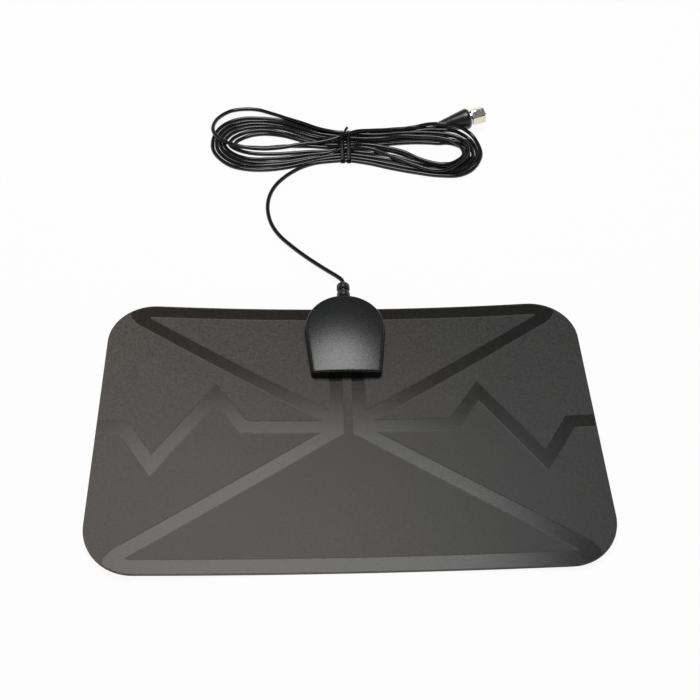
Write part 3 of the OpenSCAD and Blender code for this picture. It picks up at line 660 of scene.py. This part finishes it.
def film_kind(p, outlines, wide, narrow):
    """What the film is at p: nothing past the edge, a band, its slope or the flat base."""
    if not inside(p, outlines[0]):
        return None
    if inside(p, outlines[2]) and any(inside(p, shape) for shape in narrow):
        return "band"
    if inside(p, outlines[1]) and any(inside(p, shape) for shape in wide):
        return "slope"
    return "base"


def film_faces():
    """Triangles that follow the sheet's edge and every strip: the flat points, and each
    face's points with the kind of film that it is."""
    outlines = [rounded(SHEET_W - 2 * d, SHEET_H - 2 * d, CORNER_R - d)
                for d in (0, FOIL_MARGIN - EMBOSS_RUN, FOIL_MARGIN)]
    wide, narrow = foil_shapes(EMBOSS_RUN), foil_shapes(0)
    points, loops = [], []
    for shape in outlines + wide + narrow:
        shape = divided(shape)
        loops.append(list(range(len(points), len(points) + len(shape))))
        points += shape
    grid = [Vector(((i + 0.5) * GRID - SHEET_W / 2, (j + 0.5) * GRID - SHEET_H / 2))
            for i in range(int(SHEET_W / GRID)) for j in range(int(SHEET_H / GRID))]
    points += [p for p in grid if film_kind(p, outlines, wide, narrow) in ("base", "band")]
    inside_loops = 1
    points, _, faces, _, _, _ = delaunay_2d_cdt(points, [], loops, inside_loops, SNAP)
    kept = []
    for face in faces:
        middle = sum((points[i] for i in face), Vector((0, 0))) / len(face)
        kind = film_kind(middle, outlines, wide, narrow)
        if kind:
            kept.append((face, kind))
    return points, kept


def make_front_film(base, band):
    points, faces = film_faces()
    high = {i for face, kind in faces if kind == "band" for i in face}
    low = {i for face, kind in faces if kind == "base" for i in face}
    bm = bmesh.new()
    verts = []
    for i, p in enumerate(points):
        z = 0.0 if i in high - low else -EMBOSS
        verts.append(bm.verts.new(SEAT @ Vector((p.x, p.y, curl(p.x, p.y, z))) * MM))
    kinds = {}
    for face, kind in faces:
        made = bm.faces.new([verts[i] for i in face])
        made.material_index = 1 if kind == "band" else 0
        kinds[made] = kind
    for edge in bm.edges:
        edge.smooth = len({kinds[face] for face in edge.link_faces}) == 1
    loose = [v for v in bm.verts if not v.link_faces]
    bmesh.ops.delete(bm, geom=loose, context="VERTS")
    obj = new_piece("front_sheet", bm, [base, band], closed=False)
    solid = obj.modifiers.new("thickness", "SOLIDIFY")
    solid.thickness = (FILM_T - EMBOSS) * MM
    solid.offset = -1
    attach(obj, "antenna")
    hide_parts("front_film")


# The housing
CROWN_Y = COVER_MID_Y - 0.7


def cover_outline(d):
    """The housing's outline set in by d: front, corner, side and round end, both halves."""
    r1, r2 = max(COVER_CORNER_R - d, 0.3), COVER_R - d
    corner = Vector((COVER_FRONT_HALF - d - r1, COVER_FRONT_Y + d + r1))
    end = Vector((0, COVER_MID_Y))
    lean = (math.atan2(end.y - corner.y, end.x - corner.x)
            - math.acos((r1 - r2) / (end - corner).length))
    out = Vector((math.cos(lean), math.sin(lean)))
    side = [(corner + r1 * out).lerp(end + r2 * out, i / 10) for i in range(10)]
    lean = math.degrees(lean)
    half = ([(corner.x * i / 8, COVER_FRONT_Y + d) for i in range(8)]
            + arc(corner.x, corner.y, r1, -90, lean, 8)[:-1]
            + [tuple(p) for p in side]
            + arc(end.x, end.y, r2, lean, 90, 30))
    return half + [(-x, y) for x, y in half[-2:0:-1]]


def crown_ring(d, drop, share=1.0):
    """A ring on the crowned top, drop below it. share shrinks it towards the crown."""
    ring = []
    for x, y in cover_outline(d):
        dx, dy = x * share, (y - CROWN_Y) * share
        ring.append((dx, CROWN_Y + dy, CROWN_Z - (dx * dx + dy * dy) / (2 * CROWN_R) - drop))
    return ring


def flat_ring(d, z):
    return [(x, y, z) for x, y in cover_outline(d)]


def make_top_cover(material):
    """A shell, from the hollow's middle out to its rim and back over the crown."""
    wall_d = COVER_WALL + DRAFT
    rings = [crown_ring(wall_d + 0.8, COVER_WALL, share) for share in (0.1, 0.4, 0.7, 0.95)]
    rings += [crown_ring(wall_d, COVER_WALL + 0.8), flat_ring(COVER_WALL, SPLIT_Z)]
    rings += [flat_ring(0.12, SPLIT_Z), flat_ring(0, SPLIT_Z + 0.15)]
    rings += [crown_ring(DRAFT + EDGE_R - x, EDGE_R - y) for x, y in arc(0, 0, EDGE_R, 0, 90, 8)]
    rings += [crown_ring(DRAFT + EDGE_R, 0, share)
              for share in (0.95, 0.9, 0.8, 0.7, 0.6, 0.5, 0.4, 0.3, 0.2, 0.1)]
    bm = bmesh.new()
    loft(bm, rings)
    put(bm, SEAT)
    obj = new_piece("housing_top", bm, [material], sharp=50)
    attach(obj, "antenna")
    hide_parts("top_cover")


def make_strain_relief(material):
    """Two rounded ribs on a core round the cord, with a rounded lip at the end."""
    bore, lip = CORD_D / 2 + 0.02, 0.45
    profile = [(bore, NECK_END_Y - 6), (RELIEF_CORE_R, NECK_END_Y - 6),
               (RELIEF_CORE_R, NECK_END_Y)]
    middle = RIB_R - RIB_ROUND
    for y in (NECK_END_Y, NECK_END_Y + RIB_LEN + RIB_GAP):
        profile += arc(middle, y + RIB_ROUND, RIB_ROUND, -90, 0, 6)
        profile += arc(middle, y + RIB_LEN - RIB_ROUND, RIB_ROUND, 0, 90, 6)
        profile.append((RELIEF_CORE_R, y + RIB_LEN))
    profile += arc(bore + 0.25, RELIEF_END_Y - lip, lip, 0, 90, 3)
    profile.append((bore, RELIEF_END_Y))
    bm = turned(profile)
    put(bm, SEAT @ Matrix.Translation((0, 0, CORD_Z)) @ Matrix.Rotation(-math.pi / 2, 4, "X"))
    obj = new_piece("strain_relief_ribs", bm, [material])
    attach(obj, "antenna")
    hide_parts("strain_relief")


# The connector
def make_boot(material):
    """A cone with fine grip grooves near its narrow end and a rounded wide end."""
    tip, wide, bore = BOOT_TIP_D / 2, BOOT_D / 2, CORD_D / 2 + 0.05
    end_round, tip_round, mouth = 3.0, 0.5, 5.3
    first_groove, grooves, pitch, depth = 3.2, 6, 1.7, 0.28
    cone_start, cone_end = 0.6, BOOT_LEN - end_round

    def radius(u):
        return tip + (wide - tip) * (u - cone_start) / (cone_end - cone_start)

    profile = [(bore, 0), (tip - tip_round, 0)]
    profile += arc(tip - tip_round, tip_round, tip_round, -60, 0, 3)
    for k in range(grooves):
        u = first_groove + k * pitch
        profile += [(radius(u), u), (radius(u + 0.2) - depth, u + 0.25),
                    (radius(u + 0.6) - depth, u + 0.6), (radius(u + 0.85), u + 0.85)]
    profile += [(radius(u), u) for u in (14.5, 18, 21.5)]
    profile += arc(wide - end_round, cone_end, end_round, 0, 90, 8)
    profile += [(mouth, BOOT_LEN), (mouth - 0.2, BOOT_LEN - 0.5), (bore, BOOT_LEN - 0.5)]
    bm = turned(profile, steps=72)
    put(bm, ON_CONNECTOR)
    obj = new_piece("boot", bm, [material])
    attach(obj, "antenna")
    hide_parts("connector_boot")
    return obj


def make_nut(material):
    """Hex nut with chamfered corners and a thread in its bore. It is turned round first,
    and then its side is cut back to the six flats and its bore pressed into a helix."""
    bore, neck = NUT_BORE_D / 2, NECK_D / 2 + NECK_CLEAR
    corner = NUT_AF / 2 / math.cos(math.radians(30))
    chamfer = [(1.1, 0), (0.8, 0.12), (0.35, 0.42), (0, 0.85)]
    mouth_cut = 0.35
    thread_top = NUT_LEN - mouth_cut
    rows = ROWS_A_PITCH * int((NUT_LEN - 1.4 - NUT_WALL) / THREAD_PITCH)
    heights = [thread_top - k * THREAD_PITCH / ROWS_A_PITCH for k in range(1, rows)]
    profile = [(neck, 0)] + [(corner - cut, u) for cut, u in chamfer]
    profile.append((corner, NUT_LEN / 2))
    profile += [(corner - cut, NUT_LEN - u) for cut, u in chamfer[::-1]]
    profile += [(bore + mouth_cut, NUT_LEN), (bore, thread_top)]
    profile += [(bore, u) for u in heights]
    profile += [(bore, NUT_WALL + 0.1), (bore - 0.1, NUT_WALL), (neck, NUT_WALL)]
    bm = turned(profile, steps=96)
    near = 0.01
    for v in bm.verts:
        radius, angle = v.co.xy.length, math.atan2(v.co.y, v.co.x)
        wanted = radius
        if radius > corner - chamfer[0][0] - near:
            from_flat = math.radians(math.degrees(angle) % 60 - 30)
            wanted = min(radius, NUT_AF / 2 / math.cos(from_flat))
        elif abs(radius - bore) < near and heights[-1] - near < v.co.z < heights[0] + near:
            wave = (v.co.z / THREAD_PITCH + angle / (2 * math.pi)) % 1
            wanted = bore - THREAD_DEPTH + 2 * THREAD_DEPTH * abs(wave - 0.5)
        v.co.xy *= wanted / radius
    put(bm, ON_CONNECTOR @ Matrix.Translation((0, 0, NUT_U)))
    obj = new_piece("nut", bm, [material], sharp=22)
    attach(obj, "nut")
    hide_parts("coupling_nut")
    return obj


# The wire tie. Its section has the wire's ridge in the middle of its outer side.
TIE_SECTION = [(-0.5, -0.5), (0.5, -0.5), (0.5, 0.12), (0.34, 0.3), (0.14, 0.34), (0, 0.55),
               (-0.14, 0.34), (-0.34, 0.3), (-0.5, 0.12)]
TAIL = [(2.6, 243.5, 8.4), (4.8, 245.5, 9.6), (5.6, 248.6, 10.4), (6.4, 252.4, 10.4),
        (7.6, 256.4, 8.8), (8.4, 258.6, 8)]
TAIL_R, TAIL_OFFSET, TAIL_TURNS, TAIL_STEPS = 0.55, 0.5, 4, 60


def tie_path():
    """The tight loop round all the strands at the waist, as (y, z) points."""
    strands = list(NEAR_WAIST.values()) + list(FAR_WAIST.values()) + [LAST_RUN[1][1:]]
    strands.append((LOOSE_LOOP[-1][1], 5.4))
    reach = CORD_D / 2 + TIE_T / 2 + 0.05
    around = []
    for y, z in strands:
        around += [(py, max(pz, TIE_T / 2)) for py, pz in arc(y, z, reach, 0, 345, 23)]
    return [around[i] for i in convex_hull_2d(around)]


def make_tie(material):
    """Two wraps of flat wire tie, drawn tight round the strands at the waist."""
    path = tie_path()
    middle_y, half_y = 243, 17
    bm = bmesh.new()
    for side in (-1, 1):
        rings = []
        for i, (y, z) in enumerate(path):
            y0, z0 = path[i - 1]
            y1, z1 = path[(i + 1) % len(path)]
            out = Vector((0, z1 - z0, y0 - y1)).normalized()
            x = WAIST_X + side * (TIE_PITCH / 2 + TIE_LEAN * (y - middle_y) / half_y)
            centre = Vector((x, y, z))
            rings.append([centre + Vector((across * TIE_W, 0, 0)) + out * away * TIE_T
                          for across, away in TIE_SECTION])
        loft(bm, rings + rings[:1])
    put(bm, Matrix())
    wraps = new_piece("tie_wraps", bm, [material], sharp=40)
    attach(wraps, "antenna")
    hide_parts("twist_tie")
    return wraps


def along_tail(part):
    """A point of the smooth line through TAIL, and the way from its last point."""
    path = [Vector(p) for p in TAIL]
    at = part * (len(path) - 1)
    k = min(int(at), len(path) - 2)
    p0, p1, p2, p3 = path[max(k - 1, 0)], path[k], path[k + 1], path[min(k + 2, len(path) - 1)]
    f = at - k
    centre = 0.5 * (2 * p1 + (p2 - p0) * f + (2 * p0 - 5 * p1 + 4 * p2 - p3) * f * f
                    + (3 * p1 - p0 - 3 * p2 + p3) * f ** 3)
    return centre, (p2 - p1).normalized()


def make_tie_tail(material):
    """The tie's two ends twisted together, lying over the strands."""
    curve = bpy.data.curves.new("tie_tail", "CURVE")
    curve.dimensions = "3D"
    curve.bevel_depth = TAIL_R * MM
    curve.bevel_resolution = 3
    curve.use_fill_caps = True
    for phase in (0, math.pi):
        line = curve.splines.new("POLY")
        line.points.add(TAIL_STEPS)
        for i, point in enumerate(line.points):
            centre, way = along_tail(i / TAIL_STEPS)
            side = way.cross(Vector((0, 0, 1))).normalized()
            a = phase + 2 * math.pi * TAIL_TURNS * i / TAIL_STEPS
            out = math.cos(a) * side + math.sin(a) * side.cross(way)
            point.co = (*(centre + TAIL_OFFSET * out) * MM, 1)
    curve.materials.append(material)
    obj = new_object("tie_tail", curve)
    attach(obj, "antenna")
    return obj


# The studio. The floor shows as white by its share and keeps the object's shadow in the
# rest. The room is white up to ROOM_WHITE, as a share of straight up, and dim overhead.
FLOOR_HALF, FLOOR_SHARE = 3.0, 0.93
ROOM_WHITE, ROOM_DIM, ROOM_LEVEL = 0.2, 0.42, 0.17
LIGHT_AT, LIGHT_SIZE, LIGHT_POWER = Vector((-0.02, 0.4, 1.3)), (0.68, 0.8), 12


def make_floor():
    """White to rays that see it straight, in a reflection or through glass."""
    material, tree = new_material("studio floor")
    rays = add(tree, "ShaderNodeLightPath")
    straight = add(tree, "ShaderNodeMath", {"operation": "MAXIMUM"},
                   i0=(rays, "Is Camera Ray"), i1=(rays, "Is Glossy Ray"))
    seen = add(tree, "ShaderNodeMath", {"operation": "MAXIMUM"},
               i0=(straight, "Value"), i1=(rays, "Is Transmission Ray"))
    share = add(tree, "ShaderNodeMath", {"operation": "MULTIPLY"},
                i0=(seen, "Value"), i1=FLOOR_SHARE)
    paint = add(tree, "ShaderNodeBsdfDiffuse", Color=linear("#f9f9f9"))
    white = add(tree, "ShaderNodeEmission", Color=linear("#ffffff"), Strength=1.0)
    both = add(tree, "ShaderNodeMixShader", i0=(share, "Value"), i1=(paint, "BSDF"),
               i2=(white, "Emission"))
    add(tree, "ShaderNodeOutputMaterial", Surface=(both, "Shader"))
    bm = bmesh.new()
    bmesh.ops.create_grid(bm, x_segments=1, y_segments=1, size=FLOOR_HALF)
    new_piece("floor", bm, [material], closed=False)


def make_room():
    world = bpy.data.worlds.new("studio")
    bpy.context.scene.world = world
    world.use_nodes = True
    tree = world.node_tree
    tree.nodes.clear()
    way = add(tree, "ShaderNodeTexCoord")
    axes = add(tree, "ShaderNodeSeparateXYZ", Vector=(way, "Generated"))
    level = add(tree, "ShaderNodeMapRange", {"interpolation_type": "SMOOTHSTEP"},
                Value=(axes, "Z"), From_Min=ROOM_WHITE, From_Max=ROOM_DIM, To_Min=1.0,
                To_Max=ROOM_LEVEL)
    room = add(tree, "ShaderNodeBackground", Color=linear("#ffffff"),
               Strength=(level, "Result"))
    add(tree, "ShaderNodeOutputWorld", Surface=(room, "Background"))


def make_light():
    """One soft round lamp overhead, which shines straight down."""
    data = bpy.data.lights.new("overhead", "AREA")
    data.shape = "ELLIPSE"
    data.size, data.size_y = LIGHT_SIZE
    data.energy = LIGHT_POWER
    lamp = new_object("overhead", data)
    lamp.matrix_world = Matrix.Translation(LIGHT_AT)


# The whole object
make_camera()
jacket = cord_pvc()
cord = make_cord(jacket)

make_front_film(matt_film(), pressed_film())
make_top_cover(housing_abs())
make_strain_relief(relief_pvc())
boot = make_boot(boot_pvc())
nickel = nickel_plate()
nut = make_nut(nickel)
tie = tie_pvc()
wraps = make_tie(tie)
tail = make_tie_tail(tie)

brass, white_pe = spring_brass(), foamed_pe()
NODE_MATERIALS = {
    "antenna_foil": rolled_foil(),
    "back_film": back_film_pet(),
    "back_cover": back_cover_abs(),
    "cover_screws": zinc_plate(),
    "circuit_board": solder_mask(),
    "contact_left": brass,
    "contact_right": brass,
    "balun_core": ferrite(),
    "balun_winding": enamelled_copper(),
    "matching_capacitor": chip_ceramic(),
    "cable_clamp": tin_plate(),
    "cable_jacket_end": jacket,
    "cable_braid_end": tinned_braid(),
    "cable_dielectric_end": white_pe,
    "cable_conductor_end": copper_clad(),
    "solder_joint": solder(),
    "connector_body": nickel,
    "connector_insulator": white_pe,
    "connector_pin": pin_copper(),
}
for node, material in NODE_MATERIALS.items():
    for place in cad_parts[node].material_slots:
        place.material = material

make_floor()
make_room()
make_light()

scene = bpy.context.scene
scene.view_settings.view_transform = "Standard"
